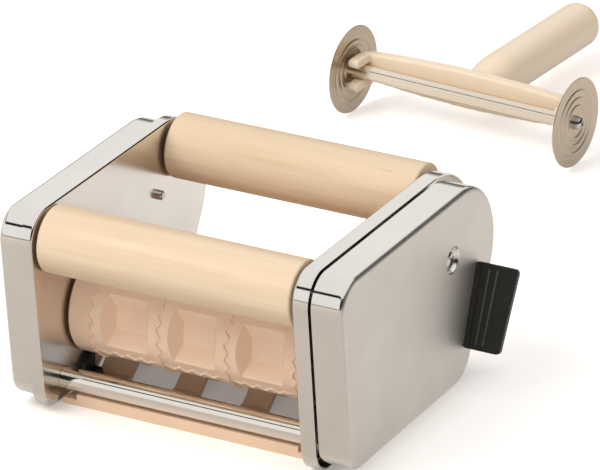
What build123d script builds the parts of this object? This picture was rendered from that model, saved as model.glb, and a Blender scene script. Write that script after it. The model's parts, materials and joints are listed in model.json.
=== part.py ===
from build123d import *
import os
from math import acos, asin, atan2, cos, degrees, hypot, pi, radians, sin, tan

# Ravioli maker with its loose wheel cutter, in millimetres and degrees.
# The rollers run along X, the cook stands on the -Y side, and Z is up from the table.
# The machine is drawn in its own X, Y and Z, where Y = 0 is close to the rollers' nip.

os.makedirs("parts", exist_ok=True)

# ---------------------------------------------------------------- casings
inner_width = 149.0            # clear width between the two inner pans
left_casing_depth = 20.0
right_casing_depth = 28.0      # deeper, because it holds the gears
sheet = 0.8                    # steel sheet of pans and covers
face_gap = 0.3                 # between faces that lie close but do not touch
touch_gap = 0.05               # between faces that bear on each other
left_pan_depth = 6.5
right_pan_depth = 9.0
left_seam = 0.3                # between the rims of pan and cover
right_seam = 1.2
pan_bend = 1.2                 # outside bend radii
cover_bend = 3.0

front_lean = 6.5               # fronts lean forward towards the top
rear_lean = 28.5               # rears lean backward towards the top
pan_top = 114.0
pan_bottom = 0.6
pan_front = -77.5              # front and rear lines, where they cross height line_height
pan_rear = 104.7
pan_radii = [14.0, 16.0, 45.0, 20.0]       # front bottom, front top, rear top, rear bottom
cover_top = 113.0
cover_bottom = 5.0
cover_front = -76.6
cover_rear = 88.5
cover_radii = [13.5, 15.5, 38.0, 20.0]
line_height = 60.0

# ---------------------------------------------------------------- rollers
left_play = 1.5                # roller ends to the pans
right_play = 2.5
wood_radius = 17.75
wood_rounding = 1.2
front_wood = (-62.0, 96.0)     # axes, in the machine's Y and Z
rear_wood = (70.6, 97.2)
axle_radius = 3.0
running_gap = 0.08             # radial clearance of everything that turns
press_gap = 0.02               # radial clearance of what is pressed on a shaft

forming_radius = 26.9
gear_module = 2.5
gear_teeth = 22
forming_front = (-22.6, 45.3)
nip_angle = -10.0              # direction from the front forming axis to the rear one
shaft_radius = 5.0
pocket_rows = 4                # around each forming roller
pocket_columns = 3             # along it
pocket_pitch = 39.4
pocket_lead = 3.5              # front pockets stand this far past the nip direction
pocket_mouth = (28.0, 29.2)    # along the roller, and across
pocket_floor = (18.4, 11.8)
pocket_floor_height = 17.9     # from the roller's axis
pocket_edge_height = 22.9

# ---------------------------------------------------------------- rods, screws, clips
rod_radius = 6.0
front_rod = (-51.0, 12.8)
rear_rod = (66.0, 32.0)
rod_screw_radius = 2.0
rod_screw_length = 12.0
head_radius = 4.4
head_height = 1.7
fastener_gap = 0.05            # radial clearance of a screw or pin in its hole
slot_width = 1.1               # cross slots of the screws
slot_depth = 1.0
clip_thickness = 0.8
clip_groove = 0.45             # depth of a clip's groove
clip_reach = 2.4               # a clip stands this far out of its shaft

# ---------------------------------------------------------------- cover screws
right_seat = (41.8, 78.9)
left_seat = (49.1, 76.4)
seat_radius = 7.25
seat_depth = 2.5
seat_taper = 35.0
post_radius = 4.0
cover_screw_radius = 2.0
post_pin_radius = 2.6          # end of each post that shows inside its pan
post_pin_reach = 3.6

# ---------------------------------------------------------------- base comb and clips
comb_front = -55.0
comb_strip_width = 5.0
comb_strip_height = 6.3
comb_notch = (8.0, 3.0)        # length and depth of the notch at each end of the strip
comb_bar = 2.5                 # thickness of the bars and of their ramps
comb_rear = 53.0
ramp_start = -16.8
ramp_angle = 38.8
ramp_tip = 7.0
comb_slats = [(-32.5, -17.5), (7.5, 22.5)]         # the two middle bars, in X
comb_end_bars = (18.5, 20.5)   # widths of the end bars, left and right
comb_pin_radius = 1.1
comb_pin_height = 9.0
holder_thickness = 3.0         # black clips that hold the comb down
holder_front = -39.0
holder_rear = -24.0
holder_top = 18.0
tongue_length = 9.5
tongue_height = 7.7

# ---------------------------------------------------------------- slide guides
guide_bottom = (54.7, 24.3)    # the guide's root line on the cover, in Y and Z
guide_top = (69.8, 67.3)
guide_reach_top = 24.0
guide_reach_bottom = 20.5
guide_thickness = 2.8
guide_corner = 2.5
guide_bead = 3.0               # width of the thick band at the root
guide_bead_thickness = 4.0
guide_neck = 36.0              # length that passes through the cover
guide_foot = (40.0, 10.0, 2.0) # flange inside the cover: length, width, thickness

# ---------------------------------------------------------------- crank socket
socket_radius = 7.0
socket_bore = 4.1
socket_depth = 14.0
socket_slot = (2.2, 5.0)       # width and depth of the cross slot in its mouth
socket_hole_gap = 0.8

# ---------------------------------------------------------------- wheel cutter
cutter_middle = (-48.2, 351.3) # middle of the axle, in the machine's X and Y
cutter_turn = -4.35            # turned on the table
disc_radius = 26.2
disc_thickness = 0.6
disc_play = 2.0                # between each disc and the end of the beam
disc_rings = [(9.0, 1.0), (13.2, 1.0), (17.4, 1.0)]  # radius and width of the pressed rings
ring_height = 0.5
cutter_axle_radius = 4.4
cutter_axle_end = 2.9          # radius of the ends that carry the discs
hub_radius = 4.0
hub_length = 1.6
cutter_head_radius = 3.6
cutter_head_height = 2.6
cutter_screw_radius = 1.5
cutter_screw_length = 10.0
beam_length = 143.0
beam_front = 4.9               # from the axle's centre back to the beam
beam_depth = 7.5
beam_top = (8.6, 11.8)         # above the axle's centre, at the ends and in the middle
beam_bottom = (6.5, 10.2)      # below it
prong_width = 6.5
prong_reach = 9.0              # forward of the axle's centre
prong_thickness = 5.6
handle_radius = 13.6
handle_rounding = 9.0
handle_length = 141.0          # from the axle to the end of the handle
handle_drop = 2.0              # handle's axis below the axle's
neck_radius = 9.5
neck_length = 40.0

# ---------------------------------------------------------------- worked-out places
body_width = left_casing_depth + inner_width + right_casing_depth
right_face = body_width / 2
left_face = -body_width / 2
right_plate = right_face - right_casing_depth
left_plate = left_face + left_casing_depth
roller_left = left_plate + left_play
roller_right = right_plate - right_play
roller_middle = (roller_left + roller_right) / 2
comb_bars = [(roller_left, roller_left + comb_end_bars[0]), *comb_slats,
             (roller_right - comb_end_bars[1], roller_right)]

pitch_radius = gear_module * gear_teeth / 2
forming_rear = (forming_front[0] + 2 * pitch_radius * cos(radians(nip_angle)),
                forming_front[1] + 2 * pitch_radius * sin(radians(nip_angle)))
clip_gap = 0.05                # on each side of a clip in its groove
groove_width = clip_thickness + 2 * clip_gap

disc_spacing = beam_length + disc_thickness + 2 * disc_play
cutter_reach = disc_spacing / 2 + disc_thickness / 2 + hub_length + cutter_head_height
set_left = cutter_middle[0] - cutter_reach * cos(radians(cutter_turn))
set_right = right_face + guide_reach_top
set_front = pan_front - tan(radians(front_lean)) * (pan_top - pan_radii[1] - line_height)
set_back = (cutter_middle[1] + (handle_length - handle_rounding) * cos(radians(cutter_turn))
            + (handle_radius - handle_rounding) * sin(radians(-cutter_turn)) + handle_rounding)
machine_x = -(set_left + set_right) / 2    # the whole set is centred on the origin
machine_y = -(set_front + set_back) / 2

cutter_floor = Plane(
    origin=(machine_x + cutter_middle[0], machine_y + cutter_middle[1], 0),
    x_dir=(cos(radians(cutter_turn)), sin(radians(cutter_turn)), 0),
    z_dir=(0, 0, 1),
)


def side(x):
    """Plane square to the rollers at x; sketches on it use the machine's Y and Z."""
    return Plane(origin=(machine_x + x, machine_y, 0), x_dir=(0, 1, 0), z_dir=(1, 0, 0))


def axial(centre):
    """Plane through an axis parallel to the rollers; sketches use X and the radius."""
    return Plane(origin=(machine_x, machine_y + centre[0], centre[1]),
                 x_dir=(1, 0, 0), z_dir=(0, -1, 0))


def cutter_plane(point, x_dir, z_dir):
    """Plane placed and turned in the cutter's own frame: x axle, y handle, z up."""
    return Plane(origin=cutter_floor.from_local_coords(point),
                 x_dir=cutter_floor.from_local_coords(x_dir) - cutter_floor.origin,
                 z_dir=cutter_floor.from_local_coords(z_dir) - cutter_floor.origin)


def turned(plane, *profile):
    """Solid of revolution about the plane's x, from points of (place, radius)."""
    with BuildSketch(plane) as outline:
        with BuildLine():
            Polyline(*profile, close=True)
        make_face()
    revolve(outline.sketch, axis=Axis(plane.origin, plane.x_dir))


def round_bar(plane, start, end, radius, bore=0.0):
    """Straight round bar or tube along the plane's x."""
    turned(plane, (start, bore), (start, radius), (end, radius), (end, bore))


def rod_at(x, centres, radius, amount, mode=Mode.ADD):
    """Discs or holes at machine Y and Z centres, extruded from x along X."""
    with BuildSketch(side(x)) as outline:
        with Locations(*centres):
            Circle(radius)
    extrude(outline.sketch, amount=amount, mode=mode)


def casing_corners(top, bottom, front, rear):
    """Corners of a casing's outline in Y and Z: front bottom, front top, rear top, rear bottom."""
    def front_y(z):
        return front - tan(radians(front_lean)) * (z - line_height)

    def rear_y(z):
        return rear + tan(radians(rear_lean)) * (z - line_height)

    return [(front_y(bottom), bottom), (front_y(top), top),
            (rear_y(top), top), (rear_y(bottom), bottom)]


def casing_block(corners, radii, plate_x, rim_x, bend):
    """Solid block of a pan or cover, with the edges at its plate rounded."""
    with BuildSketch(side(plate_x)) as outline:
        with BuildLine():
            FilletPolyline(*corners, radius=radii, close=True)
        make_face()
    extrude(outline.sketch, amount=rim_x - plate_x)
    ends = faces().filter_by(Axis.X).sort_by(Axis.X)
    plate_face = ends[0] if plate_x < rim_x else ends[-1]
    fillet(plate_face.edges(), radius=bend)


def hollow(plate_x, rim_x):
    """Leave a sheet of even thickness, open at the rim."""
    ends = faces().filter_by(Axis.X).sort_by(Axis.X)
    rim_face = ends[-1] if plate_x < rim_x else ends[0]
    offset(amount=-sheet, openings=rim_face)


def screw(plane, seat, outward, radius, height, shank, length):
    """Pan head screw with a cross slot; outward is +1 or -1 along the plane's x."""
    crown = seat + outward * height
    with BuildSketch(plane) as outline:
        with BuildLine():
            Polyline((crown, 0), (seat - outward * length, 0), (seat - outward * length, shank),
                     (seat, shank), (seat, radius), (seat + outward * 0.4 * height, radius))
            ThreePointArc((seat + outward * 0.4 * height, radius),
                          (seat + outward * 0.86 * height, 0.66 * radius), (crown, 0))
        make_face()
    revolve(outline.sketch, axis=Axis(plane.origin, plane.x_dir))
    slot_plane = Plane(origin=plane.from_local_coords((crown - outward * slot_depth, 0)),
                       x_dir=plane.y_dir, z_dir=plane.x_dir)
    for turn in (45, 135):
        with BuildSketch(slot_plane) as outline:
            Rectangle(1.15 * radius, slot_width, rotation=turn)
        extrude(outline.sketch, amount=outward * 2 * slot_depth, mode=Mode.SUBTRACT)


def clip_ring(centre, x, radius):
    """C-shaped retaining clip that sits in a groove of a shaft."""
    with BuildSketch(side(x)) as outline:
        with Locations(centre):
            Circle(radius + clip_reach)
            Circle(radius - clip_groove + clip_gap, mode=Mode.SUBTRACT)
        with Locations((centre[0], centre[1] - radius - clip_reach / 2)):
            Rectangle(1.1 * radius, radius + clip_reach, mode=Mode.SUBTRACT)
    extrude(outline.sketch, amount=clip_thickness)


def clip_grooves(centre, places, radius):
    """Grooves for clips whose near faces are at the given places."""
    for x in places:
        with BuildSketch(side(x - clip_gap)) as outline:
            with Locations(centre):
                Circle(radius + 1)
                Circle(radius - clip_groove, mode=Mode.SUBTRACT)
        extrude(outline.sketch, amount=groove_width, mode=Mode.SUBTRACT)


def save(builder, name):
    builder.part.label = name
    export_step(builder.part, f"parts/{name}.step")


# ---------------------------------------------------------------- inner pans
pan_corners = casing_corners(pan_top, pan_bottom, pan_front, pan_rear)
left_pan_rim = left_plate - left_pan_depth
right_pan_rim = right_plate + right_pan_depth
rods = [front_rod, rear_rod]
wood_axes = [front_wood, rear_wood]
forming_axes = [forming_front, forming_rear]
bush_radius = shaft_radius + 2.0
comb_pins = [(ramp_tip - comb_bar / 2, comb_pin_height)]
holder_pin = ((holder_front + holder_rear) / 2, 0.6 * holder_top)
holder_pin_radius = 2.0


def pan_holes(plate_x, outward, seat):
    """Holes of a pan's plate for rods, axles, bushes, comb pins, comb holder and cover post."""
    start = plate_x - outward
    depth = outward * (sheet + 2)
    rod_at(start, rods, rod_screw_radius + fastener_gap, depth, Mode.SUBTRACT)
    rod_at(start, wood_axes, axle_radius + fastener_gap, depth, Mode.SUBTRACT)
    rod_at(start, forming_axes, bush_radius + fastener_gap, depth, Mode.SUBTRACT)
    rod_at(start, comb_pins, comb_pin_radius + fastener_gap, depth, Mode.SUBTRACT)
    rod_at(start, [holder_pin], holder_pin_radius + fastener_gap, depth, Mode.SUBTRACT)
    rod_at(start, [seat], post_pin_radius + fastener_gap, depth, Mode.SUBTRACT)


with BuildPart() as left_inner_pan:
    casing_block(pan_corners, pan_radii, left_plate, left_pan_rim, pan_bend)
    hollow(left_plate, left_pan_rim)
    pan_holes(left_plate, -1, left_seat)
save(left_inner_pan, "left_inner_pan")

with BuildPart() as right_inner_pan:
    casing_block(pan_corners, pan_radii, right_plate, right_pan_rim, pan_bend)
    hollow(right_plate, right_pan_rim)
    pan_holes(right_plate, 1, right_seat)
save(right_inner_pan, "right_inner_pan")

# ---------------------------------------------------------------- outer covers
cover_corners = casing_corners(cover_top, cover_bottom, cover_front, cover_rear)
left_cover_rim = left_pan_rim - left_seam
right_cover_rim = right_pan_rim + right_seam
guide_length = hypot(guide_top[0] - guide_bottom[0], guide_top[1] - guide_bottom[1])
guide_middle = ((guide_top[0] + guide_bottom[0]) / 2, (guide_top[1] + guide_bottom[1]) / 2)
guide_lean = atan2(guide_top[0] - guide_bottom[0], guide_top[1] - guide_bottom[1])
socket_hole = socket_radius + socket_hole_gap


def guide_plane(face_x, outward):
    """Plane of a guide's front face: x stands out of the cover, y runs up the root line."""
    along = Vector(0, sin(guide_lean), cos(guide_lean))
    out = Vector(outward, 0, 0)
    return Plane(origin=(machine_x + face_x, machine_y + guide_middle[0], guide_middle[1]),
                 x_dir=out, z_dir=out.cross(along))


def guide_slot(face_x, outward):
    """Slot in the cover for the neck of its guide."""
    with BuildSketch(guide_plane(face_x, outward)) as outline:
        Rectangle(6 * sheet, guide_neck + 2 * fastener_gap)
    extrude(outline.sketch, amount=-outward * (guide_thickness + fastener_gap), mode=Mode.SUBTRACT)
    with BuildSketch(guide_plane(face_x, outward)) as outline:
        Rectangle(6 * sheet, guide_neck + 2 * fastener_gap)
    extrude(outline.sketch, amount=outward * fastener_gap, mode=Mode.SUBTRACT)


def cover_shell(face_x, rim_x, outward, seat):
    """Outer cover with the dished seat of its screw and the slot of its guide."""
    casing_block(cover_corners, cover_radii, face_x, rim_x, cover_bend)
    with BuildSketch(side(face_x)) as outline:
        with Locations(seat):
            Circle(seat_radius)
    extrude(outline.sketch, amount=-outward * seat_depth, taper=seat_taper, mode=Mode.SUBTRACT)
    hollow(face_x, rim_x)
    rod_at(face_x + outward, [seat], cover_screw_radius + fastener_gap,
           -outward * (seat_depth + sheet + 2), Mode.SUBTRACT)
    guide_slot(face_x, outward)


with BuildPart() as left_outer_cover:
    cover_shell(left_face, left_cover_rim, -1, left_seat)
    rod_at(left_face - 1, [forming_front], socket_hole, sheet + 2, Mode.SUBTRACT)
save(left_outer_cover, "left_outer_cover")

with BuildPart() as right_outer_cover:
    cover_shell(right_face, right_cover_rim, 1, right_seat)
save(right_outer_cover, "right_outer_cover")

# ---------------------------------------------------------------- cover posts and screws
post_ends = [                  # seat, direction out of the body, plate, outer end
    (left_seat, -1, left_plate, left_face + seat_depth + sheet),
    (right_seat, 1, right_plate, right_face - seat_depth - sheet),
]
with BuildPart() as cover_posts:
    for seat, outward, plate, outer_end in post_ends:
        back = plate + outward * sheet
        pin_end = plate - outward * post_pin_reach
        bore = cover_screw_radius + fastener_gap
        turned(axial(seat), (pin_end, 0), (pin_end, post_pin_radius - 0.8),
               (pin_end + outward * 0.8, post_pin_radius), (back, post_pin_radius),
               (back, post_radius), (outer_end, post_radius), (outer_end, bore),
               (back + outward, bore), (back + outward, 0))
save(cover_posts, "cover_posts")

with BuildPart() as cover_screws:
    screw(axial(left_seat), left_face + seat_depth, -1, head_radius, head_height,
          cover_screw_radius, left_casing_depth - seat_depth - 2.5)
    screw(axial(right_seat), right_face - seat_depth, 1, head_radius, head_height,
          cover_screw_radius, rod_screw_length)
save(cover_screws, "cover_screws")

# ---------------------------------------------------------------- tie rods and their screws
for rod_name, rod_centre in (("front_tie_rod", front_rod), ("rear_tie_rod", rear_rod)):
    with BuildPart() as tie_rod:
        turned(axial(rod_centre), (left_plate, 0), (left_plate, rod_radius),
               (right_plate, rod_radius), (right_plate, 0))
        for end, inward in ((left_plate, 1), (right_plate, -1)):
            rod_at(end, [rod_centre], rod_screw_radius + fastener_gap,
                   inward * rod_screw_length, Mode.SUBTRACT)
    save(tie_rod, rod_name)

with BuildPart() as tie_rod_screws:
    for rod_centre in rods:
        screw(axial(rod_centre), left_plate - sheet, -1, head_radius, head_height,
              rod_screw_radius, rod_screw_length)
        screw(axial(rod_centre), right_plate + sheet, 1, head_radius, head_height,
              rod_screw_radius, rod_screw_length)
save(tie_rod_screws, "tie_rod_screws")

# ---------------------------------------------------------------- wooden rollers
axle_left = left_plate - sheet - 3.0
axle_right = right_plate + sheet + 3.0
axle_clip_places = [left_plate - sheet - face_gap - clip_thickness,
                    right_plate + sheet + face_gap]

for place, centre in (("front", front_wood), ("rear", rear_wood)):
    with BuildPart() as wood_roller:
        round_bar(axial(centre), roller_left, roller_right, wood_radius,
                  bore=axle_radius + running_gap)
        rims = edges().filter_by(GeomType.CIRCLE).sort_by(SortBy.RADIUS)[-2:]
        fillet(rims, radius=wood_rounding)
    save(wood_roller, f"{place}_wood_roller")

    with BuildPart() as roller_axle:
        round_bar(axial(centre), axle_left, axle_right, axle_radius)
        clip_grooves(centre, axle_clip_places, axle_radius)
    save(roller_axle, f"{place}_roller_axle")

with BuildPart() as axle_clips:
    for centre in wood_axes:
        for x in axle_clip_places:
            clip_ring(centre, x, axle_radius)
save(axle_clips, "axle_clips")

# ---------------------------------------------------------------- forming rollers
bush_flange = 1.5
gear_width = 9.0
gear_hub_radius = 9.0
gear_hub_length = 1.5
gear_left = right_plate + sheet + bush_flange + gear_hub_length + 0.7
gear_right = gear_left + gear_width
shaft_clip_place = gear_right + touch_gap
shaft_right = shaft_clip_place + clip_thickness + 1.5
rear_clip_place = left_plate - sheet - bush_flange - face_gap - clip_thickness
rear_shaft_left = rear_clip_place - 1.5
socket_mouth = left_face
socket_bottom = socket_mouth + socket_depth
front_shaft_left = socket_bottom
flat_height = 0.78 * shaft_radius          # flat on each shaft that drives its gear
pocket_angles = {"front": nip_angle + pocket_lead, "rear": nip_angle + 180 - pocket_lead}


def pocket(centre, x, angle):
    """One ravioli pocket: a square mouth that narrows to a flat floor."""
    out = Vector(0, cos(radians(angle)), sin(radians(angle)))
    axis = Vector(machine_x + x, machine_y + centre[0], centre[1])
    floor_plane = Plane(origin=axis + out * pocket_floor_height, x_dir=(1, 0, 0), z_dir=out)
    edge_plane = Plane(origin=axis + out * pocket_edge_height, x_dir=(1, 0, 0), z_dir=out)
    with BuildSketch(floor_plane) as floor:
        Rectangle(*pocket_floor)
    with BuildSketch(edge_plane) as mouth:
        Rectangle(*pocket_mouth)
    loft([floor.sketch, mouth.sketch], mode=Mode.SUBTRACT)
    extrude(mouth.sketch, amount=forming_radius - pocket_edge_height + 1, mode=Mode.SUBTRACT)


def shaft_flat(centre):
    """Flat along the end of a shaft, under its gear and clip."""
    with BuildSketch(side(gear_left)) as outline:
        with Locations((centre[0], centre[1] + flat_height + shaft_radius)):
            Rectangle(4 * shaft_radius, 2 * shaft_radius)
    extrude(outline.sketch, amount=shaft_right - gear_left, mode=Mode.SUBTRACT)


for place, centre in (("front", forming_front), ("rear", forming_rear)):
    with BuildPart() as forming_roller:
        round_bar(axial(centre), roller_left, roller_right, forming_radius,
                  bore=shaft_radius + press_gap)
        rims = edges().filter_by(GeomType.CIRCLE).sort_by(SortBy.RADIUS)[-2:]
        chamfer(rims, length=0.8)
        for row in range(pocket_rows):
            for column in range(pocket_columns):
                x = roller_middle + (column - (pocket_columns - 1) / 2) * pocket_pitch
                pocket(centre, x, pocket_angles[place] + row * 360 / pocket_rows)
    save(forming_roller, f"{place}_forming_roller")

with BuildPart() as front_forming_shaft:
    round_bar(axial(forming_front), front_shaft_left, shaft_right, shaft_radius)
    clip_grooves(forming_front, [shaft_clip_place], shaft_radius)
    shaft_flat(forming_front)
save(front_forming_shaft, "front_forming_shaft")

with BuildPart() as rear_forming_shaft:
    round_bar(axial(forming_rear), rear_shaft_left, shaft_right, shaft_radius)
    clip_grooves(forming_rear, [shaft_clip_place, rear_clip_place], shaft_radius)
    shaft_flat(forming_rear)
save(rear_forming_shaft, "rear_forming_shaft")

with BuildPart() as shaft_bushes:
    for centre in forming_axes:
        for plate, outward, roller_end in ((left_plate, -1, roller_left),
                                           (right_plate, 1, roller_right)):
            back = plate + outward * sheet
            flange_end = back + outward * bush_flange
            nose = roller_end + outward * face_gap
            bore = shaft_radius + running_gap
            turned(axial(centre), (nose, bore), (nose, bush_radius), (back, bush_radius),
                   (back, bush_radius + 2), (flange_end, bush_radius + 2), (flange_end, bore))
save(shaft_bushes, "shaft_bushes")

with BuildPart() as front_shaft_clip:
    clip_ring(forming_front, shaft_clip_place, shaft_radius)
save(front_shaft_clip, "front_shaft_clip")

with BuildPart() as rear_shaft_clips:
    clip_ring(forming_rear, shaft_clip_place, shaft_radius)
    clip_ring(forming_rear, rear_clip_place, shaft_radius)
save(rear_shaft_clips, "rear_shaft_clips")

# ---------------------------------------------------------------- gears
pressure_angle = 20.0
backlash = 0.22                # taken off each tooth at the pitch circle
tip_radius = pitch_radius + 0.85 * gear_module
root_radius = pitch_radius - 1.25 * gear_module
base_radius = pitch_radius * cos(radians(pressure_angle))


def involute(angle):
    """Involute function of a pressure angle in radians."""
    return tan(angle) - angle


def half_tooth(radius):
    """Half of a tooth's angle at a radius, in radians."""
    at_pitch = (pi * gear_module / 2 - backlash) / (2 * pitch_radius)
    angle = acos(min(1.0, base_radius / radius))
    return at_pitch + involute(radians(pressure_angle)) - involute(angle)


def polar(radius, angle):
    return (radius * cos(angle), radius * sin(angle))


def gear(centre, tooth_angle):
    """Spur gear with a hub; tooth_angle is where the middle of one tooth points."""
    middle_radius = (base_radius + tip_radius) / 2
    with BuildSketch(mode=Mode.PRIVATE) as tooth:
        with BuildLine():
            lower = [polar(r, -half_tooth(r)) for r in (base_radius, middle_radius, tip_radius)]
            upper = [polar(r, half_tooth(r)) for r in (tip_radius, middle_radius, base_radius)]
            start = polar(root_radius - 1, -half_tooth(base_radius))
            end = polar(root_radius - 1, half_tooth(base_radius))
            Line(start, lower[0])
            ThreePointArc(*lower)
            Line(lower[2], upper[0])
            ThreePointArc(*upper)
            Line(upper[2], end)
            Line(end, start)
        make_face()
    gear_plane = Plane(origin=(machine_x + gear_left, machine_y + centre[0], centre[1]),
                       x_dir=(0, 1, 0), z_dir=(1, 0, 0))
    with BuildSketch(gear_plane) as outline:
        Circle(root_radius)
        with PolarLocations(0, gear_teeth, start_angle=tooth_angle):
            add(tooth.sketch)
        Circle(shaft_radius + press_gap, mode=Mode.SUBTRACT)
    extrude(outline.sketch, amount=gear_width)
    with BuildSketch(gear_plane) as hub:
        Circle(gear_hub_radius)
        Circle(shaft_radius + press_gap, mode=Mode.SUBTRACT)
    extrude(hub.sketch, amount=-gear_hub_length)


tooth_step = 360 / gear_teeth
for place, centre, tooth_angle in (
    ("front", forming_front, nip_angle),
    ("rear", forming_rear, nip_angle + 180 + tooth_step / 2),
):
    with BuildPart() as drive_gear:
        gear(centre, tooth_angle)
    save(drive_gear, f"{place}_gear")

# ---------------------------------------------------------------- crank socket
with BuildPart() as crank_socket:
    turned(axial(forming_front), (socket_mouth, socket_bore), (socket_mouth, socket_radius),
           (socket_bottom + 2, socket_radius), (socket_bottom + 2, shaft_radius + press_gap),
           (socket_bottom, shaft_radius + press_gap), (socket_bottom, socket_bore))
    with BuildSketch(side(socket_mouth)):
        with Locations(forming_front):
            Rectangle(2 * socket_radius + 2, socket_slot[0])
    extrude(amount=socket_slot[1], mode=Mode.SUBTRACT)
save(crank_socket, "crank_socket")

# ---------------------------------------------------------------- base comb
ramp_rise = tan(radians(ramp_angle))
tip_height = comb_bar + (ramp_tip - ramp_start) * ramp_rise
ramp_under = comb_bar / cos(radians(ramp_angle))     # ramp thickness measured upright
leg_inner = ramp_tip - comb_bar
comb_profile = [
    (comb_front, 0), (comb_front, comb_bar), (ramp_start, comb_bar), (ramp_tip, tip_height),
    (ramp_tip, comb_bar), (comb_rear, comb_bar), (comb_rear, 0), (leg_inner, 0),
    (leg_inner, comb_bar + (leg_inner - ramp_start) * ramp_rise - ramp_under),
    (ramp_start + (ramp_under - comb_bar) / ramp_rise, 0),
]
comb_left = comb_bars[0][0]
comb_right = comb_bars[-1][1]

with BuildPart() as base_comb:
    for bar_left, bar_right in comb_bars:
        with BuildSketch(side(bar_left)):
            with BuildLine():
                Polyline(*comb_profile, close=True)
            make_face()
        extrude(amount=bar_right - bar_left)
    for strip_y in (comb_front + comb_strip_width / 2, comb_rear - comb_strip_width / 2):
        with BuildSketch(side(comb_left)):
            with Locations((strip_y, comb_strip_height / 2)):
                Rectangle(comb_strip_width, comb_strip_height)
        extrude(amount=comb_right - comb_left)
    for notch_x in (comb_left, comb_right - comb_notch[0]):
        with BuildSketch(side(notch_x)):
            with Locations((comb_front + comb_strip_width / 2, comb_strip_height)):
                Rectangle(comb_strip_width + 1, 2 * comb_notch[1])
        extrude(amount=comb_notch[0], mode=Mode.SUBTRACT)
    rod_at(comb_left, comb_pins, comb_pin_radius, left_plate - sheet - face_gap - comb_left)
    rod_at(comb_right, comb_pins, comb_pin_radius, right_plate + sheet + face_gap - comb_right)
save(base_comb, "base_comb")

# ---------------------------------------------------------------- comb holders
holder_foot = comb_bar + touch_gap
tongue_points = [(0, -3.0), (0.55, -3.0), (1.0, 0.0), (0.55, 3.0), (0, 3.0)]


def comb_holder(plate_x, inward):
    """Black clip on a pan, with a flat arrow-shaped tongue over the comb."""
    with BuildSketch(side(plate_x)) as outline:
        with BuildLine():
            Polyline((holder_rear, holder_top), (holder_rear, holder_foot),
                     (holder_front, holder_foot))
            RadiusArc((holder_front, holder_foot), (holder_rear, holder_top), 17.0)
        make_face()
    extrude(outline.sketch, amount=inward * holder_thickness)
    tongue_y = holder_rear - 3.2
    root_x = plate_x + inward * holder_thickness
    with BuildSketch(Plane(origin=(machine_x, machine_y, tongue_height - 1))) as outline:
        with BuildLine():
            Polyline(*[(root_x + inward * (tongue_length - holder_thickness) * u, tongue_y + v)
                       for u, v in tongue_points], close=True)
        make_face()
    extrude(outline.sketch, amount=2)
    rod_at(plate_x, [holder_pin], holder_pin_radius, -inward * (sheet + 1))


with BuildPart() as left_comb_clip:
    comb_holder(left_plate, 1)
save(left_comb_clip, "left_comb_clip")

with BuildPart() as right_comb_clip:
    comb_holder(right_plate, -1)
save(right_comb_clip, "right_comb_clip")


# ---------------------------------------------------------------- slide guides
def slide_guide(face_x, outward):
    """Tapered fin that stands out of a cover, held by a foot behind the sheet."""
    plane = guide_plane(face_x, outward)
    back = -outward
    half = guide_length / 2
    with BuildSketch(plane) as outline:
        with BuildLine():
            FilletPolyline((touch_gap, -half), (guide_reach_bottom, -half),
                           (guide_reach_top, half), (touch_gap, half),
                           radius=[1.2, guide_corner, guide_corner, 1.2], close=True)
        make_face()
    extrude(outline.sketch, amount=back * guide_thickness)
    swell = (guide_bead_thickness - guide_thickness) / 2
    bead_plane = plane.offset(outward * swell)
    with BuildSketch(bead_plane) as outline:
        with Locations((touch_gap + guide_bead / 2, 0)):
            RectangleRounded(guide_bead, guide_length - 1, 1.2)
    extrude(outline.sketch, amount=back * guide_bead_thickness)
    neck_reach = sheet + face_gap + guide_foot[2]
    with BuildSketch(plane) as outline:
        with Locations((1 - (neck_reach + 1) / 2, 0)):
            Rectangle(neck_reach + 1, guide_neck)
    extrude(outline.sketch, amount=back * guide_thickness)
    foot_plane = Plane(origin=plane.from_local_coords(
        (-sheet - face_gap, 0, back * guide_thickness / 2)), x_dir=plane.y_dir, z_dir=plane.x_dir)
    with BuildSketch(foot_plane) as outline:
        RectangleRounded(guide_foot[0], guide_foot[1], 2)
    extrude(outline.sketch, amount=-guide_foot[2])


with BuildPart() as left_slide_guide:
    slide_guide(left_face, -1)
save(left_slide_guide, "left_slide_guide")

with BuildPart() as right_slide_guide:
    slide_guide(right_face, 1)
save(right_slide_guide, "right_slide_guide")

# ---------------------------------------------------------------- cutter discs, axle, hubs
cutter_axis = cutter_plane((0, 0, disc_radius), (1, 0, 0), (0, -1, 0))
half_spacing = disc_spacing / 2
axle_shoulder = half_spacing - disc_thickness / 2


def cutter_disc(outward):
    """Thin disc with pressed concentric rings that stand out on its outer side."""
    middle = outward * half_spacing
    turned(cutter_axis, (middle - disc_thickness / 2, cutter_axle_end + press_gap),
           (middle - disc_thickness / 2, disc_radius), (middle + disc_thickness / 2, disc_radius),
           (middle + disc_thickness / 2, cutter_axle_end + press_gap))
    face = middle + outward * disc_thickness / 2
    for ring_radius, ring_width in disc_rings:
        turned(cutter_axis, (face, ring_radius - ring_width), (face, ring_radius + ring_width),
               (face + outward * ring_height, ring_radius))


with BuildPart() as left_cutter_disc:
    cutter_disc(-1)
save(left_cutter_disc, "left_cutter_disc")

with BuildPart() as right_cutter_disc:
    cutter_disc(1)
save(right_cutter_disc, "right_cutter_disc")

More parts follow.
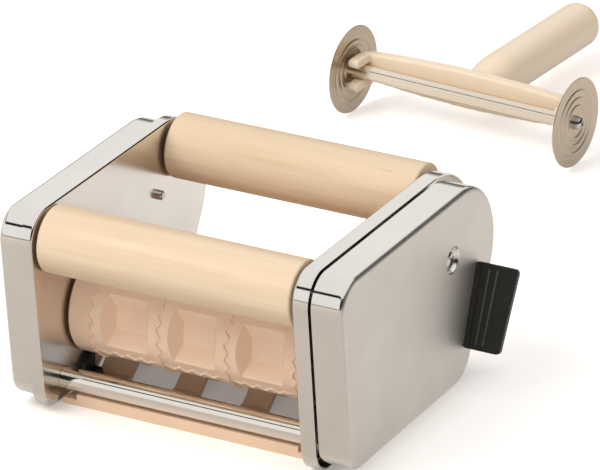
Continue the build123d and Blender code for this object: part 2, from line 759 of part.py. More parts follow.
axle_tip = half_spacing + disc_thickness / 2
hub_face = axle_tip + hub_length
with BuildPart() as cutter_axle:
    round_bar(cutter_axis, -axle_shoulder, axle_shoulder, cutter_axle_radius)
    round_bar(cutter_axis, -axle_tip, axle_tip, cutter_axle_end)
    for outward in (-1, 1):
        end_plane = cutter_plane((outward * axle_tip, 0, disc_radius), (0, 1, 0), (1, 0, 0))
        with BuildSketch(end_plane):
            Circle(cutter_screw_radius + fastener_gap)
        extrude(amount=-outward * cutter_screw_length, mode=Mode.SUBTRACT)
save(cutter_axle, "cutter_axle")

with BuildPart() as disc_hubs:
    for outward in (-1, 1):
        round_bar(cutter_axis, outward * axle_tip, outward * hub_face, hub_radius,
                  bore=cutter_screw_radius + fastener_gap)
save(disc_hubs, "disc_hubs")

with BuildPart() as cutter_screws:
    for outward in (-1, 1):
        screw(cutter_axis, outward * hub_face, outward, cutter_head_radius, cutter_head_height,
              cutter_screw_radius, cutter_screw_length)
save(cutter_screws, "cutter_screws")

# ---------------------------------------------------------------- cutter handle
handle_start = beam_front + beam_depth / 2
handle_axis = cutter_plane((0, 0, disc_radius - handle_drop), (0, 1, 0), (1, 0, 0))
prong_middle = beam_length / 2 - prong_width / 2
prong_clear = cutter_axle_radius + running_gap

with BuildPart() as cutter_handle:
    beam_plane = cutter_plane((0, beam_front, disc_radius), (1, 0, 0), (0, -1, 0))
    with BuildSketch(beam_plane):
        with BuildLine():
            ThreePointArc((-beam_length / 2, beam_top[0]), (0, beam_top[1]),
                          (beam_length / 2, beam_top[0]))
            Line((beam_length / 2, beam_top[0]), (beam_length / 2, -beam_bottom[0]))
            ThreePointArc((beam_length / 2, -beam_bottom[0]), (0, -beam_bottom[1]),
                          (-beam_length / 2, -beam_bottom[0]))
            Line((-beam_length / 2, -beam_bottom[0]), (-beam_length / 2, beam_top[0]))
        make_face()
    extrude(amount=-beam_depth)
    fillet(edges().filter_by(Axis.Z), radius=2.0)
    for prong_x in (-prong_middle, prong_middle):
        prong_plane = cutter_plane((prong_x, 0, disc_radius), (0, 1, 0), (1, 0, 0))
        prong_span = beam_front + beam_depth / 2 + prong_reach
        for lift in (1, -1):
            centre_z = lift * (prong_clear + prong_thickness / 2)
            with BuildSketch(prong_plane):
                with Locations((prong_span / 2 - prong_reach, centre_z)):
                    SlotOverall(prong_span + 2, prong_thickness)
            extrude(amount=prong_width / 2, both=True)
        with BuildSketch(prong_plane):
            Circle(prong_clear)
        extrude(amount=prong_width, both=True, mode=Mode.SUBTRACT)
    with BuildSketch(handle_axis):
        with BuildLine():
            Line((handle_start, 0), (handle_start, neck_radius))
            Spline((handle_start, neck_radius), (neck_length, handle_radius),
                   tangents=[(1, 0), (1, 0)])
            Line((neck_length, handle_radius), (handle_length - handle_rounding, handle_radius))
            RadiusArc((handle_length - handle_rounding, handle_radius),
                      (handle_length, handle_radius - handle_rounding), handle_rounding)
            Line((handle_length, handle_radius - handle_rounding), (handle_length, 0))
            Line((handle_length, 0), (handle_start, 0))
        make_face()
    revolve(axis=Axis(handle_axis.origin, handle_axis.x_dir))
save(cutter_handle, "cutter_handle")
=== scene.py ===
import json
from math import cos, pi, radians, sin, tan

import bmesh
import bpy
import numpy as np
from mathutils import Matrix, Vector
from mathutils.geometry import tessellate_polygon


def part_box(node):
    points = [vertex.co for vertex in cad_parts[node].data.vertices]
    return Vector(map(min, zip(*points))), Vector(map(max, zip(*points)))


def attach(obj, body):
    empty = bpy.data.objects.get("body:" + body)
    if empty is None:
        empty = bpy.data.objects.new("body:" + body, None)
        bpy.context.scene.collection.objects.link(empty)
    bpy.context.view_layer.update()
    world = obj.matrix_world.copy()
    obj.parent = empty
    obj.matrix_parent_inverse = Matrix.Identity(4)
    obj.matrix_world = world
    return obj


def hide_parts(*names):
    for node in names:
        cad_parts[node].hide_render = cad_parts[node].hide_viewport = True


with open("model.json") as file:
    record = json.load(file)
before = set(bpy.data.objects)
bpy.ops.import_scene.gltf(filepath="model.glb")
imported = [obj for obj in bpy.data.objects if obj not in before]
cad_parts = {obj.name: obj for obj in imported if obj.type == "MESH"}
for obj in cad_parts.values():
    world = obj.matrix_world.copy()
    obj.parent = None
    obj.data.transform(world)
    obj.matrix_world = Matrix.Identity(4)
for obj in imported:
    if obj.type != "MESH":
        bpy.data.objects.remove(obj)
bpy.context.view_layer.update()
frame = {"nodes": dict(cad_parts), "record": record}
nodes = frame["nodes"]

# A ravioli maker with its loose wheel cutter. Sizes are written in millimetres, in the machine's
# own X, Y and Z, and MM takes them to the metres that the frame has.
MM = 0.001

# ---------------------------------------------------------------- places from the frame
COMB_FRONT = -55.0             # the comb's front face in the machine's Y
left_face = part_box("left_outer_cover")[0].x
right_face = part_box("right_outer_cover")[1].x
machine = np.array([(left_face + right_face) / 2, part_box("base_comb")[0].y - COMB_FRONT * MM, 0.0])


def middle(node):
    """Centre of a node's box, as an array in metres."""
    low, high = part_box(node)
    return np.array((low + high) / 2)


# ---------------------------------------------------------------- meshes
WELD = 1e-6                    # points nearer than this are one
SIDES = 96                     # steps around a turned piece


def quads(rows, columns, around=True):
    """Corner numbers of the quads of a grid of points; around joins the last column to the
    first."""
    row, column = np.meshgrid(np.arange(rows - 1), np.arange(columns if around else columns - 1),
                              indexing="ij")
    right = (column + 1) % columns
    corners = [row * columns + column, row * columns + right,
               (row + 1) * columns + right, (row + 1) * columns + column]
    return np.stack(corners, -1).reshape(-1, 4)


def patch(points, normals, around=True):
    """A smooth grid of points, as flat lists of points, normals and quads."""
    rows, columns = points.shape[:2]
    return points.reshape(-1, 3), normals.reshape(-1, 3), quads(rows, columns, around)


def plate(loops, normal):
    """A flat face between an outer loop and its holes, cut into triangles."""
    points = np.concatenate(loops)
    triangles = tessellate_polygon([[Vector(p) for p in loop] for loop in loops])
    return points, np.tile(normal, (len(points), 1)), np.array(triangles)


def faced(points, normals, faces):
    """Faces whose winding goes against their normals are turned round."""
    across = points[faces[:, 2]] - points[faces[:, 0]]
    other = points[faces[:, -1]] - points[faces[:, 1]]
    wrong = (np.cross(across, other) * normals[faces].sum(1)).sum(1) < 0
    faces = faces.copy()
    faces[wrong] = faces[wrong][:, ::-1]
    return faces


def tri_faced(points, normals, faces):
    """The same for triangles."""
    first = points[faces[:, 1]] - points[faces[:, 0]]
    second = points[faces[:, 2]] - points[faces[:, 0]]
    wrong = (np.cross(first, second) * normals[faces].sum(1)).sum(1) < 0
    faces = faces.copy()
    faces[wrong] = faces[wrong][:, ::-1]
    return faces


def piece(name, patches, body, material, replaces=(), sharp=None):
    """One closed mesh of several patches. Points that meet are welded, and each corner keeps
    its patch's own normal, so mirrors stay clean; sharp instead splits the shading by angle."""
    starts = np.cumsum([0] + [len(p[0]) for p in patches])
    points = np.concatenate([p[0] for p in patches])
    normals = np.concatenate([p[1] for p in patches])
    keys, place = np.unique(np.round(points / WELD), axis=0, return_inverse=True)
    place = place.reshape(-1)
    welded = np.zeros_like(keys)
    welded[place] = points
    triangles, four = [], []
    for (_, _, faces), start in zip(patches, starts):
        faces = faces + start
        if faces.shape[1] == 3:
            triangles.append(tri_faced(points, normals, faces))
            continue
        faces = faced(points, normals, faces)
        same = place[faces] == place[np.roll(faces, -1, axis=1)]
        four.append(faces[same.sum(1) == 0])
        pinched = faces[same.sum(1) == 1]
        if len(pinched):
            triangles.append(pinched[~same[same.sum(1) == 1]].reshape(-1, 3))
    corners = np.concatenate([f.reshape(-1) for f in four + triangles])
    sizes = np.concatenate([np.full(len(f), f.shape[1]) for f in four + triangles])
    mesh = bpy.data.meshes.new(name)
    mesh.vertices.add(len(welded))
    mesh.vertices.foreach_set("co", welded.reshape(-1))
    mesh.loops.add(len(corners))
    mesh.loops.foreach_set("vertex_index", place[corners])
    mesh.polygons.add(len(sizes))
    mesh.polygons.foreach_set("loop_start", np.cumsum(sizes) - sizes)
    mesh.update(calc_edges=True)
    mesh.shade_smooth()
    if sharp is None:
        mesh.normals_split_custom_set(normals[corners].tolist())
    else:
        mesh.set_sharp_from_angle(angle=radians(sharp))
    return place_piece(name, mesh, body, material, replaces)


def place_piece(name, mesh, body, material, replaces=()):
    """Puts a mesh in the scene as a piece that rides on a body and takes a finish."""
    made = bpy.data.objects.new(name, mesh)
    bpy.context.scene.collection.objects.link(made)
    mesh.materials.append(material)
    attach(made, body)
    if replaces:
        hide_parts(*replaces)
    return made


def round_about(origin, axis, runs, sides=SIDES):
    """Patches of a solid of revolution. Each run is a smooth stretch of the profile, a list of
    (place along the axis, radius); a point goes to origin + place * axis + radius * (a circle)."""
    axis = np.array(axis, float) / np.linalg.norm(axis)
    side = np.cross(axis, (0, 0, 1) if abs(axis[2]) < 0.9 else (1, 0, 0))
    side /= np.linalg.norm(side)
    other = np.cross(axis, side)
    angle = np.linspace(0, 2 * pi, sides, endpoint=False)
    circle = np.cos(angle)[:, None] * side + np.sin(angle)[:, None] * other
    patches = []
    for run in runs:
        run = np.array(run, float)
        slope = np.gradient(run, axis=0)
        slope /= np.linalg.norm(slope, axis=1)[:, None]
        points = (np.array(origin) + run[:, :1, None] * axis + run[:, 1:, None] * circle)
        normals = -slope[:, 1:, None] * axis + slope[:, :1, None] * circle
        patches.append(patch(points, normals))
    return patches


def arc(centre, radius, start, end, steps=8):
    """Points of an arc in a profile's plane, from one angle in degrees to another."""
    angle = np.radians(np.linspace(start, end, steps + 1))
    return [(centre[0] + radius * cos(a), centre[1] + radius * sin(a)) for a in angle]


def rounded_bar(left, right, radius, rounding, bore=0.0):
    """Profile runs of a bar or roller with rounded rims, from its left end to its right."""
    runs = [
        [(left, bore), (left, radius - rounding)],
        arc((left + rounding, radius - rounding), rounding, 180, 90),
        [(left + rounding, radius), (right - rounding, radius)],
        arc((right - rounding, radius - rounding), rounding, 90, 0),
        [(right, radius - rounding), (right, bore)],
    ]
    if bore:
        runs.append([(right, bore), (left, bore)])
    return runs


# ---------------------------------------------------------------- materials
def new_material(name):
    """An empty node material with its shader."""
    material = bpy.data.materials.new(name)
    material.use_nodes = True
    tree = material.node_tree
    return material, tree, tree.nodes["Principled BSDF"]


def speckle(tree, scale, detail=3.0, roughness=0.5, stretch=(1, 1, 1), turn=(0, 0, 0)):
    """Noise on the object's coordinates, with scale in cycles per metre, and its output."""
    where = tree.nodes.new("ShaderNodeTexCoord")
    mapping = tree.nodes.new("ShaderNodeMapping")
    mapping.inputs["Scale"].default_value = stretch
    mapping.inputs["Rotation"].default_value = turn
    noise = tree.nodes.new("ShaderNodeTexNoise")
    noise.inputs["Scale"].default_value = scale
    noise.inputs["Detail"].default_value = detail
    noise.inputs["Roughness"].default_value = roughness
    tree.links.new(where.outputs["Object"], mapping.inputs["Vector"])
    tree.links.new(mapping.outputs["Vector"], noise.inputs["Vector"])
    return noise.outputs["Fac"]


def ramp(tree, source, stops):
    """A colour ramp over a source, from (place, colour) stops."""
    node = tree.nodes.new("ShaderNodeValToRGB")
    elements = node.color_ramp.elements
    while len(elements) < len(stops):
        elements.new(1.0)
    for element, (place, colour) in zip(elements, stops):
        element.position = place
        element.color = (*colour, 1) if len(colour) == 3 else colour
    tree.links.new(source, node.inputs["Fac"])
    return node.outputs["Color"]


def blend_colour(tree, mode, factor, first, second):
    """Mixes two colour outputs."""
    node = tree.nodes.new("ShaderNodeMix")
    node.data_type = "RGBA"
    node.blend_type = mode
    node.inputs["Factor"].default_value = factor
    tree.links.new(first, node.inputs["A"])
    tree.links.new(second, node.inputs["B"])
    return node.outputs["Result"]


def spread(tree, source, low, high):
    """Maps the middle of a noise to a range of values."""
    node = tree.nodes.new("ShaderNodeMapRange")
    node.inputs["From Min"].default_value = 0.3
    node.inputs["From Max"].default_value = 0.7
    node.inputs["To Min"].default_value = low
    node.inputs["To Max"].default_value = high
    tree.links.new(source, node.inputs["Value"])
    return node.outputs["Result"]


def relief(tree, shader, source, depth, strength=1.0):
    """Bump of the given depth in metres from a noise."""
    bump = tree.nodes.new("ShaderNodeBump")
    bump.inputs["Strength"].default_value = strength
    bump.inputs["Distance"].default_value = depth
    tree.links.new(source, bump.inputs["Height"])
    tree.links.new(bump.outputs["Normal"], shader.inputs["Normal"])


def satin_plates(tree, gloss, satin):
    """Roughness of a folded sheet: satin where the sheet faces along X, polished on its folds."""
    facing = tree.nodes.new("ShaderNodeNewGeometry")
    parts = tree.nodes.new("ShaderNodeSeparateXYZ")
    size = tree.nodes.new("ShaderNodeMath")
    size.operation = "ABSOLUTE"
    share = tree.nodes.new("ShaderNodeMapRange")
    share.inputs["From Min"].default_value = 0.25
    share.inputs["From Max"].default_value = 0.995
    share.inputs["To Max"].default_value = satin
    tree.links.new(facing.outputs["Normal"], parts.inputs["Vector"])
    tree.links.new(parts.outputs["X"], size.inputs[0])
    tree.links.new(size.outputs[0], share.inputs["Value"])
    total = tree.nodes.new("ShaderNodeMath")
    total.operation = "ADD"
    tree.links.new(gloss, total.inputs[0])
    tree.links.new(share.outputs["Result"], total.inputs[1])
    return total.outputs[0]


def steel(name, colour, gloss, waviness, drawn=(1, 1, 1), satin=0.0):
    """Polished metal: faint tone changes, a fine grain in its gloss and a slightly wavy sheet."""
    material, tree, shader = new_material(name)
    shader.inputs["Metallic"].default_value = 1.0
    dark = tuple(c * 0.95 for c in colour)
    tone = speckle(tree, 30, detail=4, stretch=drawn)
    tree.links.new(ramp(tree, tone, [(0.35, dark), (0.65, colour)]), shader.inputs["Base Color"])
    grain = speckle(tree, 900, detail=2, stretch=drawn)
    roughness = spread(tree, grain, gloss[0], gloss[1])
    if satin:
        roughness = satin_plates(tree, roughness, satin)
    tree.links.new(roughness, shader.inputs["Roughness"])
    relief(tree, shader, speckle(tree, 45, detail=1.5, stretch=drawn), waviness)
    return material


def plastic(name, colour, shade, gloss, depth=0.00002, scatter=0.0, grain=1500):
    """Moulded plastic: a soft mottle between two tones and a fine satin skin."""
    material, tree, shader = new_material(name)
    tone = speckle(tree, 60, detail=3)
    tree.links.new(ramp(tree, tone, [(0.3, shade), (0.7, colour)]), shader.inputs["Base Color"])
    skin = speckle(tree, grain, detail=2)
    tree.links.new(spread(tree, skin, gloss[0], gloss[1]), shader.inputs["Roughness"])
    relief(tree, shader, skin, depth, 0.5)
    if scatter:
        shader.inputs["Subsurface Weight"].default_value = scatter
        shader.inputs["Subsurface Radius"].default_value = (1.0, 0.6, 0.4)
        shader.inputs["Subsurface Scale"].default_value = 0.002
    return material


def wood(name):
    """Smooth pale hardwood whose grain runs along X: soft wide streaks, fine fibres, a few
    short brown flecks, and pores that show as fine dark points on the ends."""
    material, tree, shader = new_material(name)
    streaks = speckle(tree, 130, detail=4, stretch=(0.06, 1, 1))
    fibres = speckle(tree, 1100, detail=3, roughness=0.6, stretch=(0.025, 1, 1))
    flecks = speckle(tree, 420, detail=1, stretch=(0.12, 1, 1))
    base = ramp(tree, streaks, [(0.30, (0.72, 0.545, 0.37)), (0.52, (0.76, 0.60, 0.43)),
                                (0.75, (0.79, 0.65, 0.48))])
    thread = ramp(tree, fibres, [(0.30, (0.93, 0.90, 0.86)), (0.60, (1, 1, 1))])
    mark = ramp(tree, flecks, [(0.17, (0.70, 0.55, 0.40)), (0.25, (1, 1, 1))])
    colour = blend_colour(tree, "MULTIPLY", 0.6, base, thread)
    colour = blend_colour(tree, "MULTIPLY", 0.5, colour, mark)
    tree.links.new(colour, shader.inputs["Base Color"])
    tree.links.new(spread(tree, fibres, 0.50, 0.62), shader.inputs["Roughness"])
    relief(tree, shader, fibres, 0.00004, 0.4)
    return material


STEEL = (0.78, 0.745, 0.70)
MATERIALS = {
    "polished_steel": steel("cover sheet", STEEL, (0.05, 0.08), 0.000010, satin=0.46),
    "bright_rod": steel("bright rod", (0.80, 0.75, 0.68), (0.07, 0.12), 0.000002, (0.2, 1, 1)),
    "wood": wood("pale hardwood"),
    "forming_plastic": plastic("peach plastic", (0.87, 0.65, 0.49), (0.83, 0.61, 0.455),
                               (0.42, 0.52), scatter=0.12),
    "comb_plastic": plastic("cream plastic", (0.86, 0.63, 0.45), (0.83, 0.60, 0.425), (0.40, 0.5)),
    "black_plastic": plastic("black plastic", (0.016, 0.017, 0.016), (0.011, 0.012, 0.011),
                             (0.36, 0.46), depth=0.00004),
    "handle_plastic": plastic("handle plastic", (0.96, 0.80, 0.62), (0.94, 0.775, 0.595),
                              (0.30, 0.38), scatter=0.15),
    "disc_steel": steel("pressed disc", (0.55, 0.465, 0.365), (0.27, 0.32), 0.000004),
    "cutter_rod_steel": steel("cutter rod", (0.80, 0.70, 0.58), (0.17, 0.21), 0.000001,
                              (0.2, 1, 1)),
    "gear_plastic": plastic("gear plastic", (0.80, 0.80, 0.74), (0.76, 0.76, 0.70), (0.4, 0.5)),
    "bush_plastic": plastic("bush plastic", (0.62, 0.62, 0.56), (0.58, 0.58, 0.52), (0.45, 0.55)),
    "screw_steel": steel("screw steel", (0.60, 0.58, 0.55), (0.2, 0.28), 0.000002),
    "plain_steel": steel("turned steel", (0.58, 0.57, 0.56), (0.22, 0.3), 0.000004, (0.3, 1, 1)),
}
# Lighter than the black plastic of the guides: a painted highlight along their ridges.
RIDGE_HIGHLIGHT_BLACK = plastic("black plastic with painted highlight", (0.10, 0.10, 0.095), (0.05, 0.05, 0.048),
                     (0.3, 0.4))
PAN_STEEL = steel("pan sheet", STEEL, (0.05, 0.08), 0.000010, satin=0.14)
slot_of = {entry["node"]: entry["material_slot"] for entry in frame["record"]["subparts"]}
for node_name, node in nodes.items():
    node.data.materials.clear()
    node.data.materials.append(MATERIALS[slot_of[node_name]])

# ---------------------------------------------------------------- casings
SHEET = 0.8
LEFT_SEAM, RIGHT_SEAM = 0.3, 1.2        # between the rims of pan and cover
PAN = {"bend": 1.2, "lines": (114.0, 0.6, -77.5, 104.7), "radii": (14.0, 16.0, 45.0, 20.0)}
COVER = {"bend": 3.0, "lines": (113.0, 5.0, -76.6, 88.5), "radii": (13.5, 15.5, 38.0, 20.0)}
FRONT_LEAN, REAR_LEAN = 6.5, 28.5      # degrees
LINE_HEIGHT = 60.0                     # where the front and rear lines are measured
CORNER_STEPS = 28
BEND_STEPS = 10
HOLE_STEPS = 48

FRONT_ROD, REAR_ROD = (-51.0, 12.8), (66.0, 32.0)
FRONT_WOOD, REAR_WOOD = (-62.0, 96.0), (70.6, 97.2)
FORMING_FRONT, FORMING_REAR = (-22.6, 45.3), (31.564, 35.749)
COMB_PIN, HOLDER_PIN = (5.75, 9.0), (-31.5, 10.8)
PAN_HOLES = [(FRONT_ROD, 2.05), (REAR_ROD, 2.05), (FRONT_WOOD, 3.05), (REAR_WOOD, 3.05),
             (FORMING_FRONT, 7.05), (FORMING_REAR, 7.05), (COMB_PIN, 1.15), (HOLDER_PIN, 2.05)]
LEFT_SEAT, RIGHT_SEAT = (49.1, 76.4), (41.8, 78.9)
SEAT = {"rim": 7.6, "floor": 5.3, "depth": 2.5, "hole": 2.05}
POST_PIN_HOLE = 2.65
SOCKET_HOLE = 7.8


def outline(shape):
    """Corner arcs of a casing's outline as centres, outward normals and radii in Y and Z.
    A loop inset by d is centre + (radius - d) * normal."""
    top, bottom, front, rear = shape["lines"]
    front_y = [front - tan(radians(FRONT_LEAN)) * (z - LINE_HEIGHT) for z in (bottom, top)]
    rear_y = [rear + tan(radians(REAR_LEAN)) * (z - LINE_HEIGHT) for z in (top, bottom)]
    corners = np.array([(front_y[0], bottom), (front_y[1], top), (rear_y[0], top),
                        (rear_y[1], bottom)])
    along = np.roll(corners, -1, axis=0) - corners
    along /= np.linalg.norm(along, axis=1)[:, None]
    after = np.stack([-along[:, 1], along[:, 0]], 1)       # normal of the edge that leaves
    before = np.roll(after, 1, axis=0)
    radius = np.array(shape["radii"])
    centre = corners - radius[:, None] * (before + after) / (1 + (before * after).sum(1))[:, None]
    turn = np.arccos((before * after).sum(1))
    share = np.linspace(0, 1, CORNER_STEPS + 1)[:, None, None]
    normal = (np.sin((1 - share) * turn[:, None]) * before
              + np.sin(share * turn[:, None]) * after) / np.sin(turn)[:, None]
    normal = normal.transpose(1, 0, 2).reshape(-1, 2)
    spread_to = CORNER_STEPS + 1
    return np.repeat(centre, spread_to, axis=0), normal, np.repeat(radius, spread_to)


def at(x, flat):
    """Machine points in metres from one x (or an array of them) and rows of Y and Z."""
    x = np.broadcast_to(x, np.shape(flat)[:-1])[..., None]
    return np.concatenate([x, flat], -1) * MM + machine


def ring(centre, radius):
    """A circle's Y and Z points and its outward normals."""
    angle = np.linspace(0, 2 * pi, HOLE_STEPS, endpoint=False)
    normal = np.stack([np.cos(angle), np.sin(angle)], -1)
    return np.array(centre) + radius * normal, normal


def shell_loops(shape, face, rim, outward):
    """The loops of a casing from its plate round the bend to the rim, and back inside: each a
    tuple of inset, x, and the two shares of its normal, along X and across the outline."""
    outer, inner = [], []
    bend = shape["bend"]
    for angle in np.linspace(0, pi / 2, BEND_STEPS + 1):
        outer.append((bend * (1 - sin(angle)), face - outward * bend * (1 - cos(angle)),
                      outward * cos(angle), sin(angle)))
        small = bend - SHEET
        inner.append((SHEET + small * (1 - sin(angle)),
                      face - outward * (SHEET + small * (1 - cos(angle))),
                      -outward * cos(angle), -sin(angle)))
    outer.append((0, rim, 0, 1))
    inner.append((SHEET, rim, 0, -1))
    edge = [(0, rim, -outward, 0), (SHEET, rim, -outward, 0)]
    return outer, edge, inner


def casing(name, shape, face, rim, outward, holes, seat=None):
    """A folded sheet with an open rim: the outline's loops carried round the bend, flat plates
    cut round their holes, and a pressed seat whose depth follows a smooth step of the radius."""
    centre, normal, radius = outline(shape)
    patches = []
    for loops in shell_loops(shape, face, rim, outward):
        inset, x, along, across = np.array(loops).T
        flat = centre + (radius - inset[:, None])[..., None] * normal
        points = at(x[:, None], flat)
        normals = np.concatenate([np.broadcast_to(along[:, None, None], flat.shape[:2] + (1,)),
                                  across[:, None, None] * normal], -1)
        patches.append(patch(points, normals))
    border = centre + (radius - shape["bend"])[:, None] * normal
    back = face - outward * SHEET
    openings = list(holes) + ([(seat, SEAT["rim"])] if seat else [])
    for x, way in ((face, outward), (back, -outward)):
        loops = [at(x, border)] + [at(x, ring(*hole)[0]) for hole in openings]
        patches.append(plate(loops, (way, 0.0, 0.0)))
    for hole in holes:
        flat, out = ring(*hole)
        points = np.stack([at(face, flat), at(back, flat)])
        normals = np.concatenate([np.zeros((2, HOLE_STEPS, 1)), np.stack([-out, -out])], -1)
        patches.append(patch(points, normals))
    if seat:
        patches += pressed_seat(seat, face, back, outward)
    return patches


def pressed_seat(seat, face, back, outward):
    """The dish of a cover screw: depth = smooth step from 0 at the rim to full at the floor."""
    reach = np.concatenate([np.linspace(SEAT["rim"], SEAT["floor"], 15), [SEAT["hole"]]])
    share = np.clip((SEAT["rim"] - reach) / (SEAT["rim"] - SEAT["floor"]), 0, 1)
    depth = SEAT["depth"] * share ** 2 * (3 - 2 * share)
    slope = SEAT["depth"] * 6 * share * (1 - share) / (SEAT["rim"] - SEAT["floor"])
    size = np.hypot(1, slope)
    patches = []
    flat, out = ring(seat, 1.0)
    spokes = np.array(seat) + reach[:, None, None] * out
    for x, way in ((face, 1), (back, -1)):
        points = at((x - outward * depth)[:, None], spokes)
        along = np.broadcast_to((way * outward / size)[:, None, None], spokes.shape[:2] + (1,))
        across = (-way * slope / size)[:, None, None] * out
        patches.append(patch(points, np.concatenate([along, across], -1)))
    hole = np.array(seat) + SEAT["hole"] * out
    points = np.stack([at(face - outward * SEAT["depth"], hole),
                       at(back - outward * SEAT["depth"], hole)])
    normals = np.concatenate([np.zeros((2, HOLE_STEPS, 1)), np.stack([-out, -out])], -1)
    patches.append(patch(points, normals))
    return patches


def make_casings():
    """The two inner pans and the two outer covers."""
    half = (right_face - left_face) / 2 / MM
    inner_left = (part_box("front_tie_rod")[0].x - machine[0]) / MM
    inner_right = (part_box("front_tie_rod")[1].x - machine[0]) / MM
    left_rim = (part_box("left_inner_pan")[0].x - machine[0]) / MM
    right_rim = (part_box("right_inner_pan")[1].x - machine[0]) / MM
    made = [
        ("left_pan", casing("left_pan", PAN, inner_left, left_rim, 1,
                            PAN_HOLES + [(LEFT_SEAT, POST_PIN_HOLE)]), "left_inner_pan"),
        ("right_pan", casing("right_pan", PAN, inner_right, right_rim, -1,
                             PAN_HOLES + [(RIGHT_SEAT, POST_PIN_HOLE)]),
         "right_inner_pan"),
        ("left_cover", casing("left_cover", COVER, -half, left_rim - LEFT_SEAM, -1,
                              [(FORMING_FRONT, SOCKET_HOLE)], LEFT_SEAT), "left_outer_cover"),
        ("right_cover", casing("right_cover", COVER, half, right_rim + RIGHT_SEAM, 1, [], RIGHT_SEAT),
         "right_outer_cover"),
    ]
    for name, patches, node in made:
        finish = PAN_STEEL if "pan" in name else MATERIALS["polished_steel"]
        piece(name, patches, "frame", finish, [node])


make_casings()

# ---------------------------------------------------------------- wooden rollers and rods
WOOD_ROUNDING = 1.2


def make_turned(name, node, body, slot, rounding, bore=0.0):
    """A roller or rod along X that stands for its node, with the node's own size."""
    low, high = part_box(node)
    radius = (high.z - low.z) / 2
    centre = middle(node)
    runs = rounded_bar(low.x - centre[0], high.x - centre[0], radius, rounding * MM, bore * MM)
    piece(name, round_about(centre, (1, 0, 0), runs), body, MATERIALS[slot], [node])


make_turned("front_roller", "front_wood_roller", "front_wood_roller", "wood", WOOD_ROUNDING, 3.08)
make_turned("rear_roller", "rear_wood_roller", "rear_wood_roller", "wood", WOOD_ROUNDING, 3.08)
make_turned("front_bar", "front_tie_rod", "frame", "bright_rod", 0.3)
make_turned("rear_bar", "rear_tie_rod", "frame", "bright_rod", 0.3)

# ---------------------------------------------------------------- forming rollers
POCKET_ROWS, POCKET_COLUMNS = 4, 3
POCKET_PITCH = 39.4
POCKET_FLOOR = (18.4, 11.8)            # along the roller, and across
POCKET_FLOOR_HEIGHT = 17.9             # from the axis
POCKET_MOUTH = (28.0, 29.2)
POCKET_MOUTH_HEIGHT = 22.9
SHAFT_BORE = 5.02
ROLLER_CHAMFER = 0.8
TEETH_AROUND = 22                      # zigzag teeth in one turn
TOOTH_LENGTH = 7.6                     # zigzag teeth along the roller
TOOTH_SWING = 1.5                      # half of a zigzag's width
LAND_RADIUS = 26.5                     # the roller between its ribs
RIB_HEIGHT = 0.95
RIB_PROFILE = [(-1.5, 0.0), (-0.9, 0.0), (-0.35, 1.0), (0.35, 1.0), (0.55, 0.0), (1.5, 0.0)]


def zigzag(phase):
    """A triangle wave from -1 to 1 with slightly rounded tips: asin(0.97 sin) over its peak."""
    return np.arcsin(0.97 * np.sin(2 * pi * phase)) / np.arcsin(0.97)


def pocket_depth_height(turn):
    """Height above the axis of a pocket's floor or slope where a ray at this angle from the
    pocket's middle meets it, and the ray's own radius there."""
    half = POCKET_FLOOR[1] / 2
    rise = (POCKET_MOUTH_HEIGHT - POCKET_FLOOR_HEIGHT) / (POCKET_MOUTH[1] / 2 - half)
    flat = POCKET_FLOOR_HEIGHT / np.cos(turn)
    slope = (POCKET_FLOOR_HEIGHT - rise * half) / (np.cos(turn) - rise * np.sin(np.abs(turn)))
    radius = np.minimum(np.maximum(flat, slope), LAND_RADIUS)
    return radius


